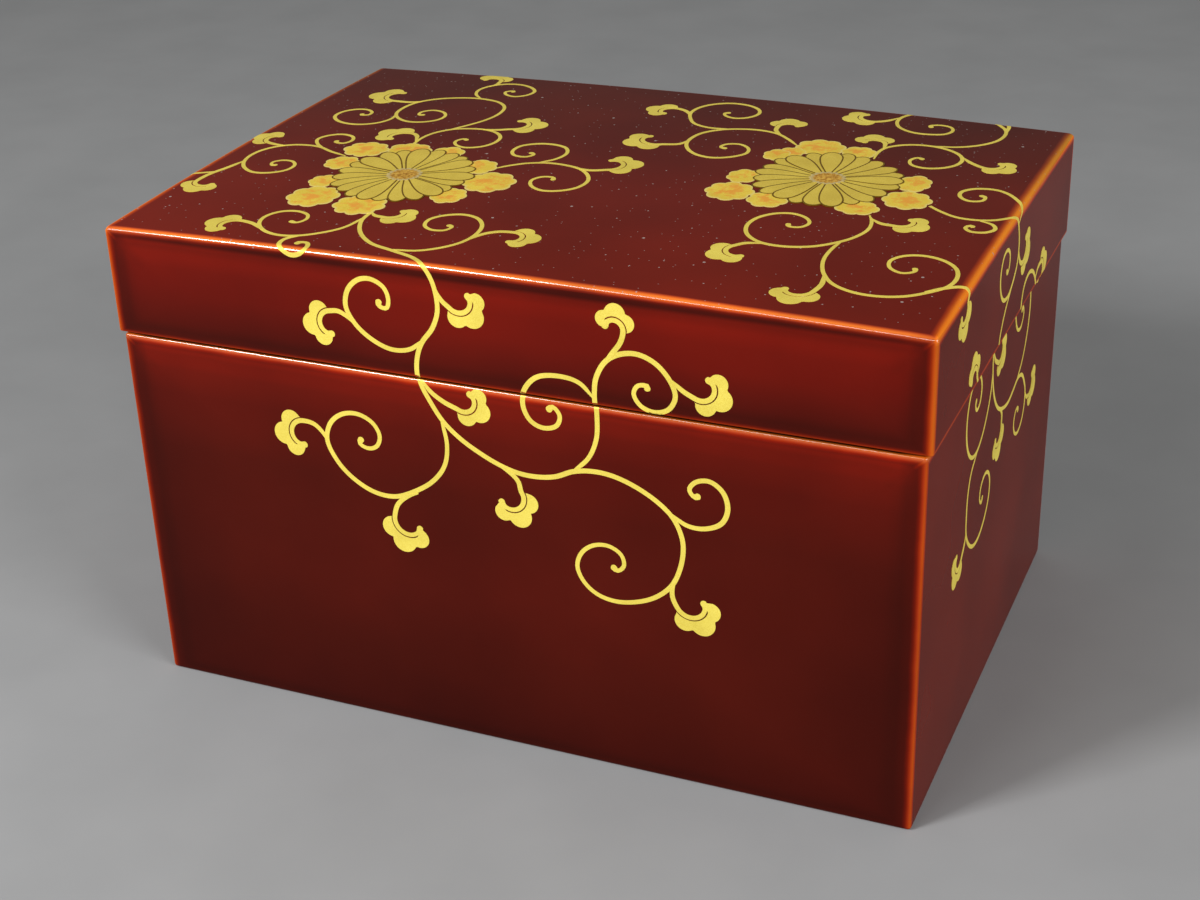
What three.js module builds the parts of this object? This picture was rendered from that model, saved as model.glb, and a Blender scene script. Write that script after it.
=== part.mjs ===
// Tea utensil box: a lacquered wooden box with a lift-off lid that sits over an inner lip.
// Millimetres, +Z up, front towards -Y, origin under the middle of the underside.

import * as THREE from 'three';

// Body, measured outside.
const bodyWidth = 213;
const bodyDepth = 146;
const bodyHeight = 103;
const bodyWall = 7;
const floorThickness = 6;

// Lip that stands up inside the body's rim and locates the lid.
const lipHeight = 8;
const lipThickness = 3;

// Lid: it stands out past the body, more at the ends than at the front and back,
// and its top swells in both directions.
const endOverhang = 1.2;
const frontOverhang = 0.4;
const lidSideHeight = 28.7;
const lidTopThickness = 6;
const crownAcross = 1.4;
const crownAlong = 1.1;

// Clearances between the two pieces.
const seamGap = 0.3;
const lipClearance = 0.35;

// Rounding of the arrises.
const cornerRadius = 1.6;
const innerCornerRadius = 2.5;
const lipCornerRadius = 2.5;
const topEdgeRadius = 1.5;
const undersideEdgeRadius = 1.1;
const rimEdgeRadius = 0.8;
const lipEdgeRadius = 0.6;
const innerFloorRadius = 2.5;

// Facets: a quarter round, a long side, a short side, and steps from the lid's edge to its middle.
const roundSteps = 5;
const widthSteps = 12;
const depthSteps = 8;
const crownSteps = 6;

// Sizes that follow.
const seamHeight = bodyHeight + seamGap;
const lidWidth = bodyWidth + 2 * endOverhang;
const lidDepth = bodyDepth + 2 * frontOverhang;
const shoulderWidth = bodyWall - lipThickness;
const openingWidth = bodyWidth - 2 * shoulderWidth + 2 * lipClearance;
const openingDepth = bodyDepth - 2 * shoulderWidth + 2 * lipClearance;
const openingCornerRadius = lipCornerRadius + lipClearance;
const lidInsideHeight = lidSideHeight - lidTopThickness;

// The points of one level ring: a rectangle drawn in by an inset, with round corners,
// counter-clockwise seen from above.
function ringPoints(width, depth, inset, radius) {
  const halfX = width / 2 - inset;
  const halfY = depth / 2 - inset;
  const corners = [
    { x: halfX - radius, y: radius - halfY, turn: -Math.PI / 2, sideSteps: depthSteps },
    { x: halfX - radius, y: halfY - radius, turn: 0, sideSteps: widthSteps },
    { x: radius - halfX, y: halfY - radius, turn: Math.PI / 2, sideSteps: depthSteps },
    { x: radius - halfX, y: radius - halfY, turn: Math.PI, sideSteps: widthSteps },
  ];
  const points = [];
  corners.forEach((corner, index) => {
    for (let step = 0; step <= roundSteps; step += 1) {
      const angle = corner.turn + (step / roundSteps) * (Math.PI / 2);
      points.push(new THREE.Vector2(
        corner.x + radius * Math.cos(angle),
        corner.y + radius * Math.sin(angle),
      ));
    }
    const from = points[points.length - 1];
    const next = corners[(index + 1) % corners.length];
    const to = new THREE.Vector2(
      next.x + radius * Math.cos(next.turn),
      next.y + radius * Math.sin(next.turn),
    );
    for (let step = 1; step < corner.sideSteps; step += 1) {
      points.push(from.clone().lerp(to, step / corner.sideSteps));
    }
  });
  return points;
}

// A closed solid from rings stacked along its surface. The first and last ring are each
// closed by a fan to a middle point, at the ring's own height unless another is given.
function solidFromRings(rings, lastHeight = rings[rings.length - 1][0].z) {
  const positions = [];
  const triangles = [];
  const count = rings[0].length;
  rings.forEach((ring) => ring.forEach((point) => positions.push(point.x, point.y, point.z)));
  for (let level = 0; level + 1 < rings.length; level += 1) {
    for (let index = 0; index < count; index += 1) {
      const next = (index + 1) % count;
      const low = level * count;
      const high = low + count;
      triangles.push(low + index, low + next, high + next);
      triangles.push(low + index, high + next, high + index);
    }
  }
  const closeWithFan = (firstIndex, height, facesUp) => {
    const middle = positions.length / 3;
    positions.push(0, 0, height);
    for (let index = 0; index < count; index += 1) {
      const here = firstIndex + index;
      const next = firstIndex + ((index + 1) % count);
      triangles.push(middle, facesUp ? here : next, facesUp ? next : here);
    }
  };
  closeWithFan(0, rings[0][0].z, false);
  closeWithFan((rings.length - 1) * count, lastHeight, true);
  const geometry = new THREE.BufferGeometry();
  geometry.setAttribute('position', new THREE.Float32BufferAttribute(positions, 3));
  geometry.setIndex(triangles);
  geometry.computeVertexNormals();
  return geometry;
}

// A quarter round in a profile, from one angle to another, about a centre given as inset and height.
function quarterRound(centreInset, centreHeight, radius, fromAngle, toAngle) {
  const levels = [];
  for (let step = 0; step <= roundSteps; step += 1) {
    const angle = THREE.MathUtils.degToRad(fromAngle + (toAngle - fromAngle) * (step / roundSteps));
    levels.push({
      inset: centreInset - radius * Math.cos(angle),
      height: centreHeight + radius * Math.sin(angle),
    });
  }
  return levels;
}

function bodyGeometry() {
  const lipTop = bodyHeight + lipHeight;
  const outside = [
    ...quarterRound(undersideEdgeRadius, undersideEdgeRadius, undersideEdgeRadius, -90, 0),
    ...quarterRound(rimEdgeRadius, bodyHeight - rimEdgeRadius, rimEdgeRadius, 0, 90),
  ];
  const lip = [
    { inset: shoulderWidth, height: bodyHeight },
    ...quarterRound(shoulderWidth + lipEdgeRadius, lipTop - lipEdgeRadius, lipEdgeRadius, 0, 90),
  ];
  const inside = [
    ...quarterRound(bodyWall - lipEdgeRadius, lipTop - lipEdgeRadius, lipEdgeRadius, 90, 180),
    ...quarterRound(
      bodyWall + innerFloorRadius, floorThickness + innerFloorRadius, innerFloorRadius, 0, -90,
    ),
  ];
  const ring = (level, radius) => ringPoints(bodyWidth, bodyDepth, level.inset, radius)
    .map((point) => new THREE.Vector3(point.x, point.y, level.height));
  return solidFromRings([
    ...outside.map((level) => ring(level, cornerRadius)),
    ...lip.map((level) => ring(level, lipCornerRadius)),
    ...inside.map((level) => ring(level, innerCornerRadius)),
  ]);
}

// Height of the lid's swelling above its corners, at a place on its top.
function crownHeight(x, y) {
  const across = (2 * x) / lidWidth;
  const along = (2 * y) / lidDepth;
  return crownAcross * (1 - across * across) + crownAlong * (1 - along * along);
}

function lidGeometry() {
  const top = lidSideHeight;
  const ceiling = lidInsideHeight;
  const openingRing = (level) => (
    ringPoints(openingWidth, openingDepth, level.inset, openingCornerRadius)
      .map((point) => new THREE.Vector3(point.x, point.y, level.height)));
  const sideRing = (level) => ringPoints(lidWidth, lidDepth, level.inset, cornerRadius)
    .map((point) => new THREE.Vector3(point.x, point.y, level.height));
  const crownedRing = (level) => ringPoints(lidWidth, lidDepth, level.inset, cornerRadius)
    .map((point) => new THREE.Vector3(
      point.x, point.y, level.height + crownHeight(point.x, point.y),
    ));

  const inside = [
    ...quarterRound(innerFloorRadius, ceiling - innerFloorRadius, innerFloorRadius, 90, 0),
    ...quarterRound(-lipEdgeRadius, lipEdgeRadius, lipEdgeRadius, 180, 270),
  ];
  const outside = quarterRound(rimEdgeRadius, rimEdgeRadius, rimEdgeRadius, -90, 0);
  const topEdge = quarterRound(topEdgeRadius, top - topEdgeRadius, topEdgeRadius, 0, 90);

  const topRings = [];
  const edgeRing = crownedRing(topEdge[topEdge.length - 1]);
  for (let step = 1; step < crownSteps; step += 1) {
    const share = 1 - step / crownSteps;
    topRings.push(edgeRing.map((point) => {
      const x = point.x * share;
      const y = point.y * share;
      return new THREE.Vector3(x, y, top + crownHeight(x, y));
    }));
  }
  return solidFromRings([
    ...inside.map(openingRing),
    ...outside.map(sideRing),
    ...topEdge.map(crownedRing),
    ...topRings,
  ], top + crownHeight(0, 0));
}

const lacquer = new THREE.MeshStandardMaterial({
  name: 'lacquer', color: 0x5e1a12, roughness: 0.22, metalness: 0,
});

const body = new THREE.Mesh(bodyGeometry(), lacquer);
body.name = 'body';

const lid = new THREE.Mesh(lidGeometry(), lacquer.clone());
lid.name = 'lid';
lid.position.z = seamHeight;

const box = new THREE.Group();
box.add(body);
box.add(lid);

export default box;
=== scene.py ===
"""Looks of the lacquered tea utensil box: translucent red-brown lacquer that turns orange where it is
thin along the arrises, and flat gold painting of chrysanthemums and scrolling vines.

Lengths are in millimetres until a mesh is made. The frame is the row frame: +X right, -Y front, +Z up.
"""

import math
import random
from collections import namedtuple

import bmesh
import bpy
from mathutils import Matrix, Vector


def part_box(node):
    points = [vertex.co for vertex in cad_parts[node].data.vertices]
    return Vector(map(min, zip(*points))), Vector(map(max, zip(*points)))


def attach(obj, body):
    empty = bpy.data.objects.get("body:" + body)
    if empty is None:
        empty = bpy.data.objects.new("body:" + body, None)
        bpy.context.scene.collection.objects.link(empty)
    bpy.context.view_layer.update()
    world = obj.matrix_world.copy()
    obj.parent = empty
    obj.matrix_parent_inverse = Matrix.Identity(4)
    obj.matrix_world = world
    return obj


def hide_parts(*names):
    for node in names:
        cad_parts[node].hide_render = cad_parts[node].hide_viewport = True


MM = 0.001

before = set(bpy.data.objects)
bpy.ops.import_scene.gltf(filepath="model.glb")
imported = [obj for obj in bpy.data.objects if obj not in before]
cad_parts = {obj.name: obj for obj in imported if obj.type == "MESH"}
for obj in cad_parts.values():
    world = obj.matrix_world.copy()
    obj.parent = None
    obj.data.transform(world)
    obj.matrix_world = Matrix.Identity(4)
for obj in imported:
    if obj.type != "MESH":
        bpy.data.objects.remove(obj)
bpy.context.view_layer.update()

# Sizes of the construction, from the frame.
body_high = Vector(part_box("body")[1]) / MM
lid_low, lid_high = (Vector(corner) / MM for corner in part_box("lid"))
BODY_X = body_high.x
BODY_Y = body_high.y
LIP_TOP = body_high.z
LID_X = lid_high.x
LID_Y = lid_high.y
LID_BOTTOM = lid_low.z

# Sizes that the boxes of the nodes don't give. RIM_EASE sets the rim lower than the frame's, so that the
# seam's shadow shows.
CROWN_ACROSS = 1.4
CROWN_ALONG = 1.1
SEAM_GAP = 0.3
LIP_CLEARANCE = 0.35
BODY_WALL = 7.0
SHOULDER = 4.0
FLOOR = 6.0
LID_TOP_THICKNESS = 6.0
CORNER_RADIUS = 0.9
INNER_CORNER_RADIUS = 2.5
TOP_EDGE_RADIUS = 1.3
UNDERSIDE_RADIUS = 1.1
RIM_RADIUS = 0.8
RIM_EASE = 0.3
LID_LOW_RADIUS = 0.35
LID_LOW_TURN = 60.0
LIP_RADIUS = 0.6
INNER_RADIUS = 2.5

# Sizes that follow.
LID_TOP = lid_high.z - CROWN_ACROSS - CROWN_ALONG
RIM = LID_BOTTOM - SEAM_GAP - RIM_EASE
OPENING_X = BODY_X - SHOULDER + LIP_CLEARANCE
OPENING_Y = BODY_Y - SHOULDER + LIP_CLEARANCE
CEILING = LID_TOP - LID_TOP_THICKNESS

# Facets of the lacquered shells.
ROUND_STEPS = 8
WIDTH_STEPS = 36
DEPTH_STEPS = 24
CROWN_STEPS = 14

# One level ring of a shell. out and up are the surface's direction there.
Level = namedtuple("Level", "half_x half_y inset height radius out up crowned")


def crown_height(x, y):
    """Height of the lid's swelling above its corners."""
    return CROWN_ACROSS * (1 - (x / LID_X) ** 2) + CROWN_ALONG * (1 - (y / LID_Y) ** 2)


def crown_normal(x, y):
    return Vector((2 * CROWN_ACROSS * x / LID_X**2, 2 * CROWN_ALONG * y / LID_Y**2, 1)).normalized()


def ring(half_x, half_y, inset, radius):
    """(point, outward direction) pairs round a level rounded rectangle, counter-clockwise."""
    x = half_x - inset - radius
    y = half_y - inset - radius
    corners = (
        (x, -y, -90, DEPTH_STEPS),
        (x, y, 0, WIDTH_STEPS),
        (-x, y, 90, DEPTH_STEPS),
        (-x, -y, 180, WIDTH_STEPS),
    )
    points = []
    for index, (corner_x, corner_y, turn, side_steps) in enumerate(corners):
        for step in range(ROUND_STEPS + 1):
            angle = math.radians(turn + 90 * step / ROUND_STEPS)
            direction = Vector((math.cos(angle), math.sin(angle)))
            points.append((Vector((corner_x, corner_y)) + radius * direction, direction))
        next_x, next_y = corners[(index + 1) % 4][:2]
        start = points[-1][0]
        end = Vector((next_x, next_y)) + radius * direction
        points += [(start.lerp(end, step / side_steps), direction) for step in range(1, side_steps)]
    return points


def quarter_round(base, inset, height, radius, start, stop, hollow=False):
    """Levels of a quarter round about a centre, from one angle to another; hollow for an inner corner."""
    side = -1 if hollow else 1
    levels = []
    for step in range(ROUND_STEPS + 1):
        angle = math.radians(start + (stop - start) * step / ROUND_STEPS)
        out = math.cos(angle)
        up = math.sin(angle)
        levels.append(base._replace(
            inset=inset - radius * out, height=height + radius * up, out=side * out, up=side * up,
        ))
    return levels


def rows_of(levels):
    """(point, normal) rows, one for each level."""
    rows = []
    for level in levels:
        row = []
        for point, direction in ring(level.half_x, level.half_y, level.inset, level.radius):
            height = level.height
            upward = Vector((0, 0, 1))
            if level.crowned:
                height += crown_height(point.x, point.y)
                upward = crown_normal(point.x, point.y)
            normal = direction.to_3d() * level.out + upward * level.up
            row.append((Vector((point.x, point.y, height)), normal.normalized()))
        rows.append(row)
    return rows


def make_mesh(name, points, faces, normals, material):
    """An object from points in millimetres, with its own normals."""
    mesh = bpy.data.meshes.new(name)
    mesh.from_pydata([point * MM for point in points], [], faces)
    mesh.shade_smooth()
    mesh.normals_split_custom_set_from_vertices(normals)
    mesh.materials.append(material)
    obj = bpy.data.objects.new(name, mesh)
    bpy.context.collection.objects.link(obj)
    return obj


def make_shell(name, skins, top_middle, material):
    """A shell from skins of (point, normal) rows, each skin with its own normals along its borders. Its
    first and its last row are closed by fans to a middle point, the last at the height of top_middle."""
    points = []
    normals = []
    faces = []
    for rows in skins:
        count = len(rows[0])
        start = len(points)
        for row in rows:
            points.extend(point for point, _ in row)
            normals.extend(normal for _, normal in row)
        for level in range(len(rows) - 1):
            low = start + level * count
            for index in range(count):
                after = (index + 1) % count
                faces.append((low + index, low + after, low + count + after, low + count + index))
    last = start + (len(skins[-1]) - 1) * count
    bottom_middle = skins[0][0][0][0].z
    for first, height, up in ((0, bottom_middle, -1), (last, top_middle, 1)):
        middle = len(points)
        points.append(Vector((0, 0, height)))
        normals.append(Vector((0, 0, up)))
        for index in range(count):
            pair = (first + index, first + (index + 1) % count)
            faces.append((middle, *pair[::up]))
    return make_mesh(name, points, faces, normals, material)


def body_skins():
    base = Level(BODY_X, BODY_Y, 0, 0, CORNER_RADIUS, 1, 0, False)
    outside = [
        *quarter_round(base, UNDERSIDE_RADIUS, UNDERSIDE_RADIUS, UNDERSIDE_RADIUS, -90, 0),
        *quarter_round(base, RIM_RADIUS, RIM - RIM_RADIUS, RIM_RADIUS, 0, 90),
        base._replace(inset=SHOULDER, height=RIM, radius=INNER_CORNER_RADIUS, out=0, up=1),
    ]
    lip = base._replace(radius=INNER_CORNER_RADIUS)
    inside = [
        lip._replace(inset=SHOULDER, height=RIM),
        *quarter_round(lip, SHOULDER + LIP_RADIUS, LIP_TOP - LIP_RADIUS, LIP_RADIUS, 0, 90),
        *quarter_round(lip, BODY_WALL - LIP_RADIUS, LIP_TOP - LIP_RADIUS, LIP_RADIUS, 90, 180),
        *quarter_round(
            lip, BODY_WALL + INNER_RADIUS, FLOOR + INNER_RADIUS, INNER_RADIUS, 0, -90, hollow=True,
        ),
    ]
    return [rows_of(outside), rows_of(inside)]


def lid_skins():
    opening = Level(
        OPENING_X, OPENING_Y, 0, 0, INNER_CORNER_RADIUS + LIP_CLEARANCE, 1, 0, False,
    )
    side = Level(LID_X, LID_Y, 0, 0, CORNER_RADIUS, 1, 0, False)
    levels = [
        *quarter_round(opening, INNER_RADIUS, CEILING - INNER_RADIUS, INNER_RADIUS, 90, 0, hollow=True),
        *quarter_round(opening, -LIP_RADIUS, LID_BOTTOM + LIP_RADIUS, LIP_RADIUS, 180, 270),
        *quarter_round(side, LID_LOW_RADIUS, LID_BOTTOM + LID_LOW_RADIUS, LID_LOW_RADIUS, -90, 0),
        *quarter_round(
            side._replace(crowned=True), TOP_EDGE_RADIUS, LID_TOP - TOP_EDGE_RADIUS,
            TOP_EDGE_RADIUS, 0, 90,
        ),
    ]
    rows = rows_of(levels)
    edge = rows[-1]
    for step in range(1, CROWN_STEPS):
        share = 1 - step / CROWN_STEPS
        row = []
        for point, _ in edge:
            x = point.x * share
            y = point.y * share
            row.append((Vector((x, y, LID_TOP + crown_height(x, y))), crown_normal(x, y)))
        rows.append(row)
    return [rows]


# Gold painting. Each face has flat coordinates seen from outside: a to the right and b up, and on the
# top a is x and b is y. A side's b runs on over the lid's edge, so one stroke can pass over it.
# Which way a runs on each side, and which way the side faces.
SIDES = {
    "front": (Vector((1, 0)), Vector((0, -1))),
    "right": (Vector((0, 1)), Vector((1, 0))),
    "back": (Vector((-1, 0)), Vector((0, 1))),
    "left": (Vector((0, -1)), Vector((-1, 0))),
}


def over_edge(half, radius, beyond):
    """(place, drop, tilt) of a surface that turns down over a rounded edge; beyond is how far the flat
    coordinate lies past the sharp edge, place is across it, and tilt is 0 on the level part and 1 on the
    upright one."""
    if beyond <= -radius:
        return half + beyond, 0.0, 0.0
    if beyond >= radius:
        return half, beyond, 1.0
    tilt = (beyond + radius) / (2 * radius)
    angle = math.radians(90 * (1 - tilt))
    return half - radius + radius * math.cos(angle), radius - radius * math.sin(angle), tilt


def turned(upward, outward, tilt):
    angle = math.radians(90 * (1 - tilt))
    return (outward * math.cos(angle) + upward * math.sin(angle)).normalized()


def half_across(face, half_x, half_y):
    return half_y if face in ("front", "back") else half_x


def lid_surface(face, a, b):
    """(point, normal) on the lid at a face's flat coordinates."""
    if face == "top":
        across = abs(a) - LID_X
        along = abs(b) - LID_Y
        if across > -TOP_EDGE_RADIUS or along > -TOP_EDGE_RADIUS:
            if across > along:
                side = "right" if a > 0 else "left"
                run = b if a > 0 else -b
                beyond = across
            else:
                side = "back" if b > 0 else "front"
                run = -a if b > 0 else a
                beyond = along
            edge = SIDES[side][0] * run + SIDES[side][1] * half_across(side, LID_X, LID_Y)
            return lid_surface(side, run, LID_TOP + crown_height(edge.x, edge.y) - beyond)
        return Vector((a, b, LID_TOP + crown_height(a, b))), crown_normal(a, b)
    along, outward = SIDES[face]
    half = half_across(face, LID_X, LID_Y)
    edge = along * a + outward * half
    height = LID_TOP + crown_height(edge.x, edge.y)
    place, drop, tilt = over_edge(half, TOP_EDGE_RADIUS, height - b)
    if drop > TOP_EDGE_RADIUS and b < LID_BOTTOM + LID_LOW_RADIUS:
        return lower_arris(along * a, outward, half, b)
    flat = along * a + outward * place
    point = Vector((flat.x, flat.y, LID_TOP + crown_height(flat.x, flat.y) - drop))
    return point, turned(crown_normal(flat.x, flat.y), outward.to_3d(), tilt)


def lower_arris(flat, outward, half, b):
    """(point, normal) where the lid's side turns under towards the seam."""
    radius = LID_LOW_RADIUS
    angle = math.radians(-LID_LOW_TURN * (1 - (b - LID_BOTTOM) / radius))
    place = flat + outward * (half - radius + radius * math.cos(angle))
    point = Vector((place.x, place.y, LID_BOTTOM + radius + radius * math.sin(angle)))
    normal = outward.to_3d() * math.cos(angle) + Vector((0, 0, math.sin(angle)))
    return point, normal


def body_surface(face, a, b):
    """(point, normal) on the body's side at a face's flat coordinates."""
    along, outward = SIDES[face]
    half = half_across(face, BODY_X, BODY_Y)
    place, drop, tilt = over_edge(half, RIM_RADIUS, RIM - b)
    flat = along * a + outward * place
    return Vector((flat.x, flat.y, RIM - drop)), turned(Vector((0, 0, 1)), outward.to_3d(), tilt)


SURFACES = {"lid": lid_surface, "body": body_surface}
SEAMS = {"lid": LID_BOTTOM, "body": RIM}


class Painting:
    """Thin flat patches of one finish on one piece, gathered into one mesh."""

    def __init__(self, name, part, material):
        self.name = name
        self.part = part
        self.material = material
        self.points = []
        self.normals = []
        self.faces = []
        self.tints = []

    def lay(self, face, grid, lift, tints=None):
        """Adds a patch given as rows of flat (a, b) points, lift above the lacquer."""
        flat = bmesh.new()
        tint = flat.verts.layers.float.new("tint")
        rows = []
        for row_index, row in enumerate(grid):
            verts = []
            for column, (a, b) in enumerate(row):
                vert = flat.verts.new((a, b, 0))
                vert[tint] = tints[row_index][column] if tints else 0.0
                verts.append(vert)
            rows.append(verts)
        for low, high in zip(rows, rows[1:]):
            for column in range(len(low) - 1):
                flat.faces.new((low[column], low[column + 1], high[column + 1], high[column]))
        bmesh.ops.remove_doubles(flat, verts=flat.verts, dist=MERGE_REACH)
        if face != "top":
            bmesh.ops.bisect_plane(
                flat, geom=[*flat.verts, *flat.edges, *flat.faces],
                plane_co=(0, SEAMS[self.part], 0), plane_no=(0, 1, 0),
                clear_inner=self.part == "lid", clear_outer=self.part == "body",
            )
        flat.normal_update()
        for item in flat.faces:
            if item.normal.z < 0:
                item.normal_flip()
        self.raise_patch(flat, face, lift, tint)
        flat.free()

    def raise_patch(self, flat, face, lift, tint):
        surface = SURFACES[self.part]
        places = {}
        for vert in flat.verts:
            point, normal = surface(face, vert.co.x, vert.co.y)
            places[vert] = len(self.points)
            self.points.append(point + normal * lift)
            self.normals.append(normal)
            self.tints.append(vert[tint])
        for item in flat.faces:
            self.faces.append(tuple(places[vert] for vert in item.verts))
        for edge in flat.edges:
            if len(edge.link_faces) == 1:
                self.add_wall(edge, places, lift)

    def add_wall(self, edge, places, lift):
        """The thin side of a patch, down into the lacquer."""
        loop = edge.link_loops[0]
        first = places[loop.vert]
        second = places[loop.link_loop_next.vert]
        step = self.points[second] - self.points[first]
        outward = step.cross(self.normals[first]).normalized()
        start = len(self.points)
        for index, depth in ((first, 0), (second, 0), (second, lift + SINK), (first, lift + SINK)):
            self.points.append(self.points[index] - self.normals[index] * depth)
            self.normals.append(outward)
            self.tints.append(self.tints[index])
        self.faces.append((start + 3, start + 2, start + 1, start))

    def build(self, slot):
        obj = make_mesh(self.name, self.points, self.faces, self.normals, self.material)
        values = obj.data.attributes.new("tint", "FLOAT", "POINT")
        values.data.foreach_set("value", self.tints)
        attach(obj, "root")


# How far apart a patch's points may be and still be one, how far its sides go under the lacquer's surface,
# how high the kinds of patch lie above it, and the step from one patch to the next.
MERGE_REACH = 0.002
SINK = 0.02
VINE_LIFT = 0.04
LOBE_LIFT = 0.08
CRESCENT_LIFT = 0.084
FLOWER_LEAF_LIFT = 0.09
GROUND_LIFT = 0.112
PETAL_LIFT = 0.114
LIFT_STEP = 0.002

# Vines: sizes of the brushed line, with the eye that it ends in, and how finely it is drawn.
VINE_HALF_WIDTH = 0.53
VINE_SWELL = 0.12
TOP_VINE_WIDTH = 0.82
END_VINE_WIDTH = 0.85
EYE_SWELL = 0.34
EYE_REACH = 0.9
BRANCH_TAPER = 4.0
BRANCH_START = 0.5
LEAST_HALF_WIDTH = 0.01
PATH_STEP = 0.7
KNOT_STEPS = 12
CAP_ANGLES = (0, 25, 50, 70, 82, 90)
ACROSS_STEPS = 3


def spread(first, last, steps):
    """Points evenly from one to another."""
    return [tuple(first.lerp(last, step / steps)) for step in range(steps + 1)]


def smooth_path(points):
    """Evenly spaced points on a smooth curve through the given ones, closer in its round end, each with its
    distance along the curve; and the curve's length."""
    knots = [Vector(point) for point in points]
    knots = [2 * knots[0] - knots[1], *knots, 2 * knots[-1] - knots[-2]]
    dense = []
    for p0, p1, p2, p3 in zip(knots, knots[1:], knots[2:], knots[3:]):
        t1 = (p1 - p0).length ** 0.5
        t2 = t1 + (p2 - p1).length ** 0.5
        t3 = t2 + (p3 - p2).length ** 0.5
        for index in range(KNOT_STEPS):
            t = t1 + (t2 - t1) * index / KNOT_STEPS
            a1 = p0.lerp(p1, t / t1)
            a2 = p1.lerp(p2, (t - t1) / (t2 - t1))
            a3 = p2.lerp(p3, (t - t2) / (t3 - t2))
            b1 = a1.lerp(a2, t / t2)
            b2 = a2.lerp(a3, (t - t1) / (t3 - t1))
            dense.append(b1.lerp(b2, (t - t1) / (t2 - t1)))
    dense.append(knots[-2])
    lengths = [0.0]
    for before, after in zip(dense, dense[1:]):
        lengths.append(lengths[-1] + (after - before).length)
    total = lengths[-1]
    count = max(4, round(total / PATH_STEP))
    places = [total * index / count for index in range(count)]
    cap = VINE_HALF_WIDTH
    places = [place for place in places if place < total - cap]
    places += [total - cap * (1 - math.sin(math.radians(angle))) for angle in CAP_ANGLES]
    path = []
    cursor = 0
    for place in places:
        while cursor < len(lengths) - 2 and lengths[cursor + 1] < place:
            cursor += 1
        share = (place - lengths[cursor]) / max(lengths[cursor + 1] - lengths[cursor], 1e-9)
        path.append((dense[cursor].lerp(dense[cursor + 1], min(share, 1.0)), place))
    return path, total


def stroke(points, width=1.0, branch=True):
    """Rows of a brushed line: thin where it leaves another, fullest in the middle, round at its end."""
    path, total = smooth_path(points)
    rows = []
    for index, (point, place) in enumerate(path):
        before = path[max(index - 1, 0)][0]
        after = path[min(index + 1, len(path) - 1)][0]
        forward = (after - before).normalized()
        across = Vector((-forward.y, forward.x))
        half = VINE_HALF_WIDTH + VINE_SWELL * math.sin(math.pi * place / total)
        if branch:
            rise = min(place / BRANCH_TAPER, 1.0)
            half *= BRANCH_START + (1 - BRANCH_START) * rise * rise * (3 - 2 * rise)
        left = total - place
        half += EYE_SWELL * math.exp(-(((left - EYE_REACH) / EYE_REACH) ** 2))
        half *= width
        cap = VINE_HALF_WIDTH * width
        if left < cap:
            half *= math.sqrt(max(0.0, 1 - (1 - left / cap) ** 2))
        half = max(half, LEAST_HALF_WIDTH)
        rows.append(spread(point - across * half, point + across * half, ACROSS_STEPS))
    return rows


# Curled leaves: a crescent that ends in a hook, with lobes outside it and an engraved line between them.
# A lobe's place is a share of the leaf's sweep, and its reach is how far its middle lies beyond the
# middle line of the crescent.
Leaf = namedtuple("Leaf", "stalk centre radius start sweep")
Lobe = namedtuple("Lobe", "place reach radius")
LOBES = (Lobe(0.24, 1.2, 2.7), Lobe(0.5, 1.8, 3.1), Lobe(0.75, 0.9, 2.5))
FULL_LEAF_RADIUS = 3.7
ENGRAVED_LINE = 0.34
ENGRAVED_START = 0.06
ENGRAVED_STOP = 0.8
ENGRAVED_FADE = 0.08
LOBE_UNDER_CRESCENT = 0.25
HOOK_IN = 0.3
CRESCENT_STEPS = 8
LOBE_STEPS = 48
LOBE_COLUMNS = 6


def crescent_radius(leaf, share):
    return leaf.radius * (1 - HOOK_IN * max(share, 0.0) ** 3)


def leaf_place(leaf, share, radius):
    angle = math.radians(leaf.start + leaf.sweep * share)
    return Vector(leaf.centre) + radius * Vector((math.cos(angle), math.sin(angle)))


def circle_exit(distance, radius, turn):
    """How far a ray from the origin runs to leave a circle, or nothing if it misses."""
    across = distance * math.sin(turn)
    if abs(turn) > math.pi / 2 or abs(across) > radius:
        return 0.0
    return distance * math.cos(turn) + math.sqrt(radius * radius - across * across)


def leaf_crescent(leaf):
    curl = []
    for step in range(CRESCENT_STEPS + 1):
        share = step / CRESCENT_STEPS
        curl.append(leaf_place(leaf, share, crescent_radius(leaf, share)))
    return stroke([*leaf.stalk, *curl])


def leaf_lobes(leaf):
    """Rows across the lobes, from the engraved line to the outline."""
    rows = []
    sweep = math.radians(abs(leaf.sweep))
    size = 0.5 + 0.5 * leaf.radius / FULL_LEAF_RADIUS
    for step in range(LOBE_STEPS + 1):
        share = step / LOBE_STEPS
        shown = max(0.0, min(1.0, (ENGRAVED_STOP - share) / ENGRAVED_FADE, share / ENGRAVED_START))
        inner = crescent_radius(leaf, share) + VINE_HALF_WIDTH + VINE_SWELL / 2
        inner += ENGRAVED_LINE * shown - LOBE_UNDER_CRESCENT * (1 - shown)
        outer = max(
            circle_exit(leaf.radius + lobe.reach * size, lobe.radius * size, (share - lobe.place) * sweep)
            for lobe in LOBES
        )
        outer = max(outer, inner)
        rows.append(spread(leaf_place(leaf, share, inner), leaf_place(leaf, share, outer), LOBE_COLUMNS))
    return rows


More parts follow.
